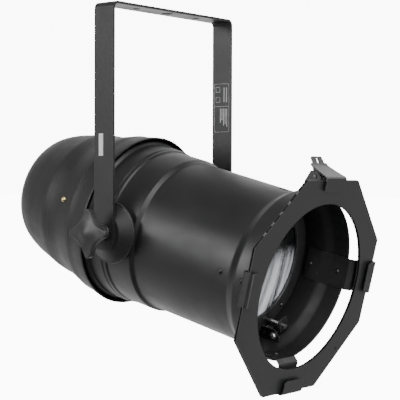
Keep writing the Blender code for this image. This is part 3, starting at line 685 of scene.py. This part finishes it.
def build_knob(side, sign, turn):
    """Four-lobed star knob, level at rest: a domed star with rounded edges on a stepped shank."""
    level = -sign * TILT
    reaches = [knob_radius(2 * math.pi * k / KNOB_STEPS - level) for k in range(KNOB_STEPS)]
    shape = bmesh.new()
    rings = []
    for share in (0, 0.12, 0.24, 0.36, 0.48, 0.6, 0.7, 0.8, 0.87, 0.92, 0.95, 0.97, 0.985, 0.995, 1):
        radii = [share * reach for reach in reaches]
        heights = []
        for radius, reach in zip(radii, reaches):
            inset = max(0.0, KNOB_EDGE - (reach - radius))
            drop = KNOB_EDGE - math.sqrt(KNOB_EDGE ** 2 - inset ** 2)
            heights.append(KNOB_FACE_Z + KNOB_DOME * math.exp(-(radius / KNOB_DOME_REACH) ** 2) - drop)
        rings.append(ring(shape, radii, heights))
    for share, z in ((1.0, 136.4), (0.985, 135.0), (0.94, 134.1), (0.84, 133.7), (0.66, 133.6)):
        rings.append(ring(shape, [share * reach for reach in reaches], [z] * KNOB_STEPS))
    for radius, z in ((9.6, 132.8), (9.4, 130.0), (8.6, 129.4), (8.4, 121.0), (9.4, 120.2), (9.4, 116.5),
                      (4.4, 116.3), (4.4, 141.0), (0.0, 141.4)):
        rings.append(ring(shape, [radius] * KNOB_STEPS, [z] * KNOB_STEPS))
    skin(shape, rings)
    bmesh.ops.remove_doubles(shape, verts=shape.verts, dist=0.001)
    bmesh.ops.recalc_face_normals(shape, faces=shape.faces)
    piece(f"knob_{side}_moulding", moved(shape, turn=turn), KNOB, [f"star_knob_{side}"],
          f"knob_{side}", sharp=50)


# ---- colour frame

FRAME_FLATS = 250.0
FRAME_HOLE_R = 97.8
FRAME_SAG = 5.8
FRAME_FRONT = 222.8
FRAME_DEPTH = 3.8
SHEET = 1.2
FOLD_PITCH = 15.9
FOLD_TAB = 4.0


def octagon(flats, corner=1.0):
    reach = flats / 2 / math.cos(math.pi / 8)
    return filleted([polar(reach, 22.5 + 45 * i)[:2] for i in range(8)], corner, 3, closed=True)


def build_colour_frame():
    """Two octagonal leaves with a perforated fold along the upper left edge, riveted at a corner."""
    hole = circle(FRAME_HOLE_R, ROUND)
    pin = circle(1.75, 16, (82, -81.7))
    leaves = [slab([octagon(FRAME_FLATS), hole, pin], SHEET, 0.3, (0, -FRAME_SAG, z))
              for z in (FRAME_FRONT - SHEET / 2, FRAME_FRONT - FRAME_DEPTH + SHEET / 2)]
    tabs = []
    turn = spin(135, "Z")
    fold = Vector(polar(FRAME_FLATS / 2 - SHEET / 2 - 0.05, 135))
    fold += Vector((0, -FRAME_SAG, FRAME_FRONT - FRAME_DEPTH / 2))
    for step in range(-2, 3):
        along = turn.to_3x3() @ Vector((0, step * FOLD_PITCH, 0))
        tab = slab([rounded_rectangle(SHEET / 2, FRAME_DEPTH / 2, 0.55)], FOLD_TAB, turn=spin(90, "X"))
        tabs.append(moved(tab, fold + along, turn))
    piece("frame_leaves", merged(*leaves), PAINT, ["colour_frame"])
    # The fold tabs get the lighter paint: a painted highlight along the fold.
    piece("frame_fold_tabs", merged(*tabs), TAB_HIGHLIGHT_COAT)


# ---- clips

def corner_cut(distance, radius):
    """How far a rounded corner pulls a straight side in, at a distance from the end."""
    if distance >= radius:
        return 0.0
    return radius - math.sqrt(max(0.0, radius ** 2 - (radius - distance) ** 2))


def with_end_steps(path, reach, count):
    """Add points near the end of a path, so that rounded corners can be cut there."""
    end, before = Vector(path[-1]), Vector(path[-2])
    run = (end - before).length
    direction = (end - before).normalized()
    extra = []
    for i in range(count + 1):
        share = i / count
        distance = reach * (1 - math.sin(share * math.pi / 2))
        if distance < run - 0.01:
            extra.append(tuple(end - direction * distance))
    return list(path[:-1]) + extra


def spans_for(path, half, radius):
    """Half widths along a path whose end has rounded corners."""
    lengths = [0.0]
    for one, two in zip(path, path[1:]):
        lengths.append(lengths[-1] + (Vector(two) - Vector(one)).length)
    halves = [half - corner_cut(lengths[-1] - length, radius) for length in lengths]
    return [(-edge, edge) for edge in halves]


RIVET = [(0, 2.1), (1.1, 2.05), (2.1, 1.7), (3.0, 1.0), (3.4, 0.15), (3.4, 0), (1.6, -0.2), (1.6, -2.6),
         (0, -2.6)]
RIVET_TAIL = [(0, 1.5), (0.9, 1.45), (1.7, 1.2), (2.4, 0.6), (2.6, 0.1), (2.6, 0), (1.5, 0), (1.5, -2.8),
              (0, -2.8)]


def rivets(profile, seats, degrees, out):
    """Rivet heads on walls at (radius, z) seats, which face out (1) or toward the axis of the can (-1)."""
    turn = turned_to(polar(out, degrees))
    return merged(*[moved(lathe(profile, 24), polar(seat, degrees, z), turn) for seat, z in seats])


CLIP_HALF = 19.0
CLIPS = {"clip_right": (0, 126.2), "clip_left": (180, 126.2), "clip_bottom": (270, 132.0)}


def build_clip(name, degrees, floor):
    """Spring clip: an arm riveted inside the mouth, an S bend, and the channel that holds the frame."""
    path = [(87.9, 154), (87.9, 172), (94.6, 187), (94.6, 208.5), (99.5, 214), (floor - 2.6, 214),
            (floor, 216.6), (floor, 224.6), (floor - 2.4, 227), (floor - 17, 227)]
    path = with_end_steps(filleted(path, 2.6, 5), 5.0, 6)
    arm = ribbon(path, spans_for(path, CLIP_HALF, 5.0), SHEET)
    turn = spin(degrees - 90, "Z")
    piece(f"{name}_spring", moved(arm, turn=turn), PAINT, [name], bevel=0.28)
    heads = rivets(RIVET, ((92.8, 160), (99.2, 195)), degrees, 1)
    piece(f"{name}_rivets", heads, PAINT)
    tails = rivets(RIVET_TAIL, ((87.3, 160), (94.0, 195)), degrees, -1)
    piece(f"{name}_rivet_tails", tails, DARK_ZINC)


# ---- latch

LATCH_PIN = Vector((0, 119.3, 204.5))
LATCH_PATH = [(107.8, 225.3), (121.8, 225.3), (123.4, 223.6), (125.0, 217.6), (126.7, 211.5),
              (128.6, 205.5), (130.4, 200.2), (133.4, 196.8), (136.4, 194.2), (139.4, 191.6)]
LATCH_HALVES = ((225.3, 20.0), (223.6, 20.0), (211.5, 18.2), (200.2, 16.6), (197.8, 16.0), (197.3, 15.0),
                (197.0, 11.8), (196.6, 11.1), (190.0, 11.0))


def along_table(table, value):
    """Linear value in a table of (position, value) pairs whose positions go down."""
    for (one, here), (two, there) in zip(table, table[1:]):
        if value >= two:
            return here + (there - here) * min(1.0, max(0.0, (one - value) / (one - two)))
    return table[-1][1]


def with_levels(path, levels):
    """Add a point wherever a (y, z) path goes down through one of the z levels."""
    result = [path[0]]
    for one, two in zip(path, path[1:]):
        for level in levels:
            if one[1] > level > two[1]:
                share = (one[1] - level) / (one[1] - two[1])
                result.append((one[0] + (two[0] - one[0]) * share, level))
        result.append(two)
    return result


def upright_plate(outline, at):
    """A sheet across x, with rounded corners. Its outline is (z, y) about its place."""
    return slab([filleted(outline, 2.0, 4, closed=True)], 1.5, 0.0, at, spin(-90, "Y"))


def build_latch():
    """Sprung latch: a tapered plate with a front lip and a slotted thumb tab, on a pin in a bracket."""
    run = [LATCH_PATH[0]] + filleted(LATCH_PATH[:4], 1.6, 4)[1:-1] + flowing(LATCH_PATH[3:], 4)
    run = with_end_steps(with_levels(run, [level for level, _ in LATCH_HALVES[4:8]]), 3.0, 4)
    spans = []
    for point in run:
        half = along_table(LATCH_HALVES, point[1])
        half -= corner_cut((Vector(run[-1]) - Vector(point)).length, 3.0)
        spans.append((-half, half))
    lever = ribbon(run, spans, 1.5)
    cheek = [(-3.4, -3.4), (3.4, -3.4), (5.2, 7.4), (-5.2, 10.8), (-8.6, 13.6), (-8.6, 8.6)]
    cheeks = [upright_plate(cheek, LATCH_PIN + Vector((x, 0, 0))) for x in (-7.5, 7.5)]
    tilt = spin(49, "X") @ spin(-90, "X")
    slot = slab([rounded_rectangle(1.8, 3.9, 1.7)], 14, at=(0, 135.4, 195.1), turn=tilt)
    bore = bar(LATCH_PIN - Vector((12, 0, 0)), LATCH_PIN + Vector((12, 0, 0)), 1.75)
    piece("latch_plate", lever, PAINT, ["latch_lever"], "latch", bevel=0.3,
          cuts=[slot, bore], adds=cheeks)

    base = block((26, 1.5, 20), (0, 100.05, 200))
    lug = [(-12.5, 0), (8, 0), (8, 20.3), (2, 24.8), (-7.3, 24.8), (-12.5, 12)]
    lugs = [upright_plate(lug, (x, 100.05, LATCH_PIN.z)) for x in (-11.75, 11.75)]
    piece("latch_bracket_fold", base, PAINT, ["latch_bracket"], bevel=0.25, adds=lugs)
    half = [(0, 14), (1.9, 13.8), (2.3, 13.2), (2.3, 12.8), (1.5, 12.6)]
    pin = lathe(half + [(1.5, -12.6), (2.3, -12.8), (2.3, -13.4), (1.9, -13.9), (0, -14)], 24)
    piece("latch_pin_rod", moved(pin, LATCH_PIN, spin(90, "Y")), DARK_ZINC, ["latch_pin"])
    heads = [moved(lathe(RIVET, 24), (0, 100.9, z), turned_to((0, 1, 0))) for z in (193.5, 203)]
    piece("latch_rivets", merged(*heads), PAINT)


# ---- optics

BEZEL_Z = 149.0
ROD_PLACE_R = 80.5
DRIVE_ANGLE = -62.0
EAR_ANGLE = -80.0
LENS_R = 72.6
LENS_FRONT_R = 68.3


def on_bezel(profile):
    """A profile of (radius, height over the bezel's face), as (radius, z)."""
    return [(radius, BEZEL_Z + height) for radius, height in profile]


def build_optics():
    """Bezel, lens with its bright lip, and the screws that join them."""
    ring_profile = [(87.4, 0), (87.4, -2.2), (75.2, -2.2), (75.2, 131 - BEZEL_Z), (73.2, 131 - BEZEL_Z),
                    (73.2, -2.6), (69.2, -2.6), (69.0, -1.0), (69.5, 1.0), (70.3, 1.2), (71.0, 0.9),
                    (71.6, 0)]
    holes = [bar(polar(ROD_PLACE_R, degrees, BEZEL_Z - 5), polar(ROD_PLACE_R, degrees, BEZEL_Z + 5), 3.5)
             for degrees in (135, 225, DRIVE_ANGLE)]
    piece("lens_ring", lathe(on_bezel(ring_profile)), PLASTIC, ["lens_bezel"],
          "lens_carriage", cuts=holes)
    lip = [(68.5, -2.0), (68.5, 0.6), (68.8, 0.9), (69.3, 0.6), (69.05, -1.0), (69.15, -2.0)]
    piece("lens_lip", lathe(on_bezel(lip)), DARK_ZINC, body="lens_carriage")

    steps = 24
    front = []
    for i in range(steps + 1):
        radius = LENS_FRONT_R * i / steps
        front.append((radius, -2.9 + 5.5 * (1 - (radius / LENS_FRONT_R) ** 2)))
    back = [(LENS_R, -3.0), (LENS_R, -6.4)]
    for i in range(1, steps + 1):
        radius = LENS_R * (1 - i / steps)
        back.append((radius, -6.4 - 12.8 * (1 - (radius / LENS_R) ** 2)))
    piece("lens_element", lathe(on_bezel(front + back)), GLASS, ["lens"], "lens_carriage",
          sharp=50)

    profile = [(0, 2.2), (1.2, 2.15), (2.2, 1.8), (2.7, 1.1), (2.7, 0.3), (1.5, 0.3), (1.5, -6.8), (0, -6.8)]
    for number, degrees in enumerate((-42, 78, 198), 1):
        screw(f"lens_ring_screw_{number}", profile, DARK_ZINC, f"bezel_screw_{number}",
              "lens_carriage", Matrix.Translation(polar(ROD_PLACE_R, degrees, BEZEL_Z)), (1.5, 2.2, 0.8))


def build_engine():
    """Faceted reflector bowl in front of the chassis plate."""
    bowl = [(48.2, -5), (47.4, -14), (44.6, -22), (40, -32), (34.5, -40), (28, -46), (22, -52.2)]
    section = thick([(49.4, -4.4)] + flowing(bowl, 3), 1.1)
    piece("reflector_bowl", lathe(section, 40), MIRROR, ["reflector"], sharp=3)


def build_end_bracket():
    """Bracket at the front end of the lead screw, with an upright ear, its screw and a limit switch."""
    turn = spin(DRIVE_ANGLE - 90, "Z")
    path = filleted([(87.6, 158), (87.6, 172.4), (70, 172.4)], 1.6, 4)
    path = with_end_steps(path, 3.0, 4)
    plate = ribbon(path, spans_for(path, 8.0, 3.0), 1.5)
    hole = bar((0, ROD_PLACE_R, 165), (0, ROD_PLACE_R, 180), 3.4)
    piece("drive_end_bracket", moved(plate, turn=turn), DARK_ZINC, ["zoom_bracket"],
          bevel=0.2, cuts=[moved(hole, turn=turn)])

    radial, along = Vector(polar(1, EAR_ANGLE)), Vector((0, 0, 1))
    upright = Matrix((radial, along, radial.cross(along))).transposed().to_4x4()
    outline = [(88.2, 158), (88.2, 186), (80, 186), (73.5, 178), (73.5, 160), (76, 158)]
    ear = slab([filleted(outline, 2.5, 4, closed=True), circle(1.7, 20, (80.5, 163.5))], 1.4, 0.2)
    piece("drive_bracket_ear", moved(ear, turn=upright), DARK_ZINC)
    profile = [(0, 3.0), (1.3, 2.85), (2.4, 2.3), (3.1, 1.3), (3.2, 0.9), (4.3, 0.9), (4.3, 0.1), (0, 0.1)]
    shapes = (lathe(profile, 32), *cross_recess(1.7, 3.0, 0.9))
    head, *blades = [moved(shape, (80.5, 177.5, 0.65)) for shape in shapes]
    piece("drive_bracket_ear_screw", moved(head, turn=upright), ZINC,
          cuts=[moved(blade, turn=upright) for blade in blades])
    case = block((12, 6, 6), (80.5, 168.6, -4.0))
    piece("limit_switch_case", moved(case, turn=upright), PLASTIC, bevel=0.5)
    lever = merged(block((13, 0.35, 4.4), (80, 164.8, -4.0)), block((2.4, 1.6, 2.4), (84, 165.4, -4.0)))
    piece("limit_switch_lever", moved(lever, turn=upright), ZINC, bevel=0.1)


# ---- rear panel

PANEL_FACE = -193.7
PANEL_R = 57.0
DISPLAY_Y = 35.0
BUTTON_Y = 17.0
BUTTONS = {"mode": -16.5, "enter": -5.5, "down": 5.5, "up": 16.5}
SOCKETS = {"data_socket_in": (-16, -6), "data_socket_out": (16, -6), "power_socket_in": (-16, -33),
           "power_socket_out": (16, -33)}
FUSE_AT = (-38, 6)
BACKWARD = spin(180, "Y")


def on_panel(shape, x=0.0, y=0.0, proud=0.0):
    """Turn a shape made along +z to face backward from the rear panel, at a place on it."""
    return moved(shape, (x, y, PANEL_FACE - proud), BACKWARD)


def printed_line(points):
    """A thin printed line along a polyline."""
    strokes = []
    for one, two in zip(points, points[1:]):
        one, two = Vector(one), Vector(two)
        along = two - one
        turn = Matrix.Rotation(math.atan2(along.y, along.x), 4, "Z")
        middle = (one + two) / 2
        strokes.append(block((along.length + LINE, LINE, PRINT), (middle.x, middle.y, PRINT / 2), turn))
    return strokes


def build_rear_panel():
    """Panel at the back of the dome, with printed frames and marks, and its four screws."""
    holes = [circle(9.3, 40, at) for at in SOCKETS.values()]
    holes += [circle(2.8, 24, (x, BUTTON_Y)) for x in BUTTONS.values()] + [circle(4.8, 32, FUSE_AT)]
    holes.append([(x, y + DISPLAY_Y) for x, y in rounded_rectangle(17, 5.5, 0.8)])
    screws = [polar(52.4, degrees)[:2] for degrees in (8, 172, 226, 314)]
    plate = slab([circle(PANEL_R, ROUND), *holes], 2.0, 0.25, (0, 0, PANEL_FACE + 1.0))
    piece("panel_plate", plate, PAINT, ["rear_panel"])
    heads, recesses = [], []
    profile = [(0, 1.5), (1.4, 1.42), (2.3, 1.1), (2.9, 0.5), (3.0, 0.03), (0, 0.03)]
    for x, y in screws:
        heads.append(on_panel(lathe(profile, 32), x, y))
        recesses += [on_panel(blade, x, y) for blade in cross_recess(1.5, 1.6, 0.8)]
    piece("panel_screws", merged(*heads), ZINC, cuts=recesses)

    marks = printed_line([(-23, 42.5), (23, 42.5), (23, 11.5), (-23, 11.5), (-23, 42.5)])
    marks += printed_line([(-30, 4.5), (30, 4.5), (30, -45), (-30, -45), (-30, 4.5)])
    marks += printed_line([(-30, -19.6), (30, -19.6)])
    for x, mark in zip(BUTTONS.values(), ("ring", "dot", -1.2, 1.2)):
        y = BUTTON_Y + 6.2
        if mark == "ring":
            outlines = [circle(1.2, 20, (x, y)), circle(0.8, 20, (x, y))]
        elif mark == "dot":
            outlines = [circle(1.0, 20, (x, y))]
        else:
            outlines = [[(x - 1.3, y - mark), (x + 1.3, y - mark), (x, y + mark)]]
        marks.append(slab(outlines, PRINT, at=(0, 0, PRINT / 2)))
    printed = moved(merged(*marks), turn=Matrix.Scale(-1, 4, (1, 0, 0)))
    bmesh.ops.reverse_faces(printed, faces=printed.faces)
    piece("panel_print", on_panel(printed, proud=0.01), INK)
    build_display()
    for name, x in BUTTONS.items():
        build_button(name, x)
    build_fuse()
    for name, (x, y) in SOCKETS.items():
        build_socket(name, x, y)


def build_display():
    """Unlit four-digit display behind a tinted window in a soft black frame."""
    window = slab([rounded_rectangle(16.7, 5.2, 0.7)], 3.0, 0.3)
    piece("display_glass", on_panel(window, 0, DISPLAY_Y, -1.2), SCREEN, ["display_window"])
    strokes = []
    level = [(0, y, 2.6, 0.7) for y in (3.0, 0, -3.0)]
    upright = [(x, y, 0.7, 2.2) for y in (1.5, -1.5) for x in (-1.75, 1.75)]
    for place in range(4):
        centre = -11.4 + 7.6 * place
        for x, y, wide, high in level + upright:
            strokes.append(slab([rounded_rectangle(wide / 2, high / 2, 0.3, 3)], 0.06, at=(centre + x, y, 0)))
        strokes.append(slab([circle(0.45, 12, (centre + 3.1, -3.1))], 0.06))
    piece("display_segments", on_panel(merged(*strokes), 0, DISPLAY_Y, 0.33), PIXELS)


def build_button(name, x):
    """Round menu button with a shallow finger dish."""
    cap = [(0, 2.05), (1.2, 2.15), (1.9, 2.4), (2.25, 2.35), (2.4, 2.1), (2.4, -2.4), (4.0, -2.45),
           (4.0, -5.0), (0, -5.0)]
    piece(f"button_cap_{name}", on_panel(lathe(cap, 40), x, BUTTON_Y), KNOB, [f"menu_button_{name}"],
          f"button_{name}", sharp=40)


def build_fuse():
    """Fuse holder: ribbed cap with a slot for a coin or screwdriver."""
    cap = [(0, 5.0), (4.4, 5.0), (5.0, 4.7), (5.2, 4.2), (5.2, 1.6), (6.0, 1.3), (6.0, 0.3), (4.4, 0.3),
           (4.4, -16), (0, -16)]
    ribs = []
    for k in range(18):
        x, y, _ = polar(5.5, 20 * k)
        ribs.append(on_panel(bar((x, y, 1.5), (x, y, 6), 0.55, 8), *FUSE_AT))
    slot = on_panel(block((7.0, 1.1, 2.4), (0, 0, 5.0)), *FUSE_AT)
    piece("fuse_cap", on_panel(lathe(cap, 72), *FUSE_AT), PLASTIC, ["fuse_holder"],
          cuts=[*ribs, slot])


def build_socket(name, x, y):
    """Flanged round socket: a metal shell with two small screws, and its insert with contacts."""
    shell = [(9.0, 0.3), (12.0, 0.3), (12.0, 1.6), (11.6, 2.1), (9.4, 2.3), (9.0, 3.1), (8.6, 3.3),
             (7.8, 3.3), (7.4, 2.9), (7.4, -14.0), (0, -14.0), (0, -18.0), (9.0, -18.0)]
    cuts = []
    for sign in (-1, 1):
        for blade in cross_recess(0.8, 2.3, 0.5):
            bmesh.ops.translate(blade, verts=blade.verts, vec=(10.5 * sign * 0.72, 10.5 * 0.69, 0))
            cuts.append(on_panel(blade, x, y))
    piece(f"{name}_shell", on_panel(lathe(shell, 72), x, y), DARK_ZINC, [name], cuts=cuts)
    pins = [polar(4.0, degrees)[:2] for degrees in (90, 210, 330)]
    if name == "data_socket_in":
        contacts = [bar((a, b, -13.9), (a, b, -2.5), 1.15, 20) for a, b in pins]
        key = block((1.6, 1.4, 11), (0, 6.6, -8))
        piece(f"{name}_pins", on_panel(merged(*contacts), x, y), ZINC)
        piece(f"{name}_key", on_panel(key, x, y), PLASTIC, bevel=0.2)
    elif name == "data_socket_out":
        insert = lathe([(0, 1.2), (5.6, 1.2), (6.1, 0.9), (6.2, 0.3), (6.2, -13.9), (0, -13.9)], 60)
        bores = [bar((a, b, -9), (a, b, 4), 1.3, 20) for a, b in pins]
        lever = block((3.4, 2.2, 1.2), (0, 10.1, 2.9))
        piece(f"{name}_insert", on_panel(insert, x, y), PLASTIC,
              cuts=[on_panel(bore, x, y) for bore in bores])
        piece(f"{name}_release", on_panel(lever, x, y), ZINC, bevel=0.35)
    else:
        core = lathe([(0, 1.6), (4.2, 1.6), (4.8, 1.2), (4.9, 0.6), (4.9, -13.9), (0, -13.9)], 60)
        blades = [block((1.0, 2.6, 12), (a * 0.62, b * 0.62, -3), Matrix.Rotation(math.atan2(b, a), 4, "Z"))
                  for a, b in pins]
        keys = [block((1.5, 1.6, 12), (*polar(6.7, degrees)[:2], -8), spin(degrees - 90, "Z"))
                for degrees in (40, 160, 260)]
        material = INK if name == "power_socket_out" else PLASTIC
        piece(f"{name}_core", on_panel(core, x, y), material,
              cuts=[on_panel(blade, x, y) for blade in blades])
        piece(f"{name}_keys", on_panel(merged(*keys), x, y), PLASTIC, bevel=0.2)


# ---- CAD nodes that stay

def finish_carried_nodes():
    """Procedural finishes for the CAD solids whose shape is right as it is."""
    finishes = {
        STEEL_BOLT: ("pivot_bolt_left", "pivot_bolt_right", "bracket_screw", "latch_spring",
                     "guide_rod_upper", "guide_rod_lower", "lead_screw"),
        DARK_ZINC: ("pivot_plate_left", "pivot_plate_right"),
        PLASTIC: ("pivot_spacer_left", "pivot_spacer_right", "fan_housing", "fan_rotor", "lens_retainer",
                  "zoom_motor"),
        ALUMINIUM: ("chassis_plate", "heatsink", "led_module", "power_supply"),
        PHOSPHOR: ("led_emitter",),
        BRASS: ("drive_nut",),
        BOARD: ("control_board",),
    }
    for material, names in finishes.items():
        for name in names:
            for place in NODES[name].material_slots:
                place.material = material


# ---- studio

ROOM_LIGHT = 0.17
BACKDROP = 10.0
# Lit patches round the object: (axis, cosine where a patch begins, cosine where it is full, strength).
SURROUNDINGS = (
    ((0.45, 0.75, -0.45), 0.42, 0.97, 0.92),
    ((0.62, 0.66, 0.42), 0.72, 0.97, 0.8),
    ((0.80, 0.58, -0.15), 0.80, 1.0, 0.35),
    ((-0.86, 0.43, 0.28), 0.952, 0.987, 7.5),
    ((-0.62, 0.70, -0.35), 0.80, 0.98, 0.3),
    ((-0.45, 0.35, 0.82), 0.75, 1.0, 0.12),
    ((-0.50, -0.60, 0.62), 0.80, 0.97, 4.5),
    ((0.83, -0.10, 0.55), 0.86, 0.98, 1.8),
    ((0.84, -0.50, -0.22), 0.70, 0.98, 0.34),
    ((0.05, -0.96, -0.27), 0.90, 0.99, 5.0),
)
FLOOR_DROP = 0.25
FLOOR_HALF = 30


def build_surroundings():
    """A dim room with soft lit patches. The camera sees a white backdrop in its place."""
    world = bpy.data.worlds.new("studio")
    bpy.context.scene.world = world
    world.use_nodes = True
    sky = Nodes(world.node_tree)
    direction = sky.node("TexCoord").outputs["Generated"]
    total = ROOM_LIGHT
    for axis, start, full, strength in SURROUNDINGS:
        patch = sky.spread(sky.dot(direction, Vector(axis).normalized()), 0.0, strength, start, full)
        patch.node.interpolation_type = "SMOOTHSTEP"
        total = sky.calculated("Math", "ADD", patch, total)
    lit = sky.tree.nodes["Background"]
    seen = sky.node("Background", Strength=BACKDROP)
    sky.feed(lit.inputs["Strength"], total)
    for shown in (lit, seen):
        shown.inputs["Color"].default_value = (1, 1, 1, 1)
    pick = sky.node("MixShader", Fac=sky.node("LightPath").outputs["Is Camera Ray"])
    sky.feed(pick.inputs[1], lit.outputs["Background"])
    sky.feed(pick.inputs[2], seen.outputs["Background"])
    sky.feed(sky.tree.nodes["World Output"].inputs["Surface"], pick.outputs["Shader"])


def build_studio():
    """Pale floor below the hanging light, and the surroundings. Only the camera sees the floor."""
    shape = bmesh.new()
    bmesh.ops.create_grid(shape, x_segments=1, y_segments=1, size=FLOOR_HALF)
    mesh = bpy.data.meshes.new("floor")
    shape.to_mesh(mesh)
    shape.free()
    floor = bpy.data.objects.new("floor", mesh)
    floor.location = (0, 0, cad_box[0].z - FLOOR_DROP)
    floor.visible_diffuse = False
    floor.visible_glossy = False
    floor.visible_transmission = False
    floor.visible_shadow = False
    bpy.context.scene.collection.objects.link(floor)
    pale = Shading("pale_floor")
    pale.set(Base_Color=(0.9, 0.9, 0.9, 1), Roughness=0.9, Emission_Color=(1, 1, 1, 1),
             Emission_Strength=BACKDROP)
    mesh.materials.append(pale.material)
    build_surroundings()


def build_camera():
    """Camera fitted to the photograph's view: below the bar, level with the tube, from the front left."""
    azimuth, pitch, roll = math.radians(-51.38), math.radians(-0.96), math.radians(-0.17)
    camera = bpy.data.objects.new("camera", bpy.data.cameras.new("camera"))
    camera.data.lens = 112.0
    camera.data.sensor_width = 36.0
    camera.location = (-1.178, -0.994, -0.207)
    camera.rotation_euler = (math.radians(90) + pitch, roll, azimuth)
    bpy.context.scene.collection.objects.link(camera)
    bpy.context.scene.camera = camera


build_camera()
build_studio()
build_yoke()
build_rating_panel()
build_tube()
build_rear_casing()
build_can_screws()
for side, sign in (("left", -1), ("right", 1)):
    build_pivot(side, sign)
build_colour_frame()
for clip_name, (clip_angle, clip_floor) in CLIPS.items():
    build_clip(clip_name, clip_angle, clip_floor)
build_latch()
build_optics()
build_engine()
build_end_bracket()
build_rear_panel()
finish_carried_nodes()
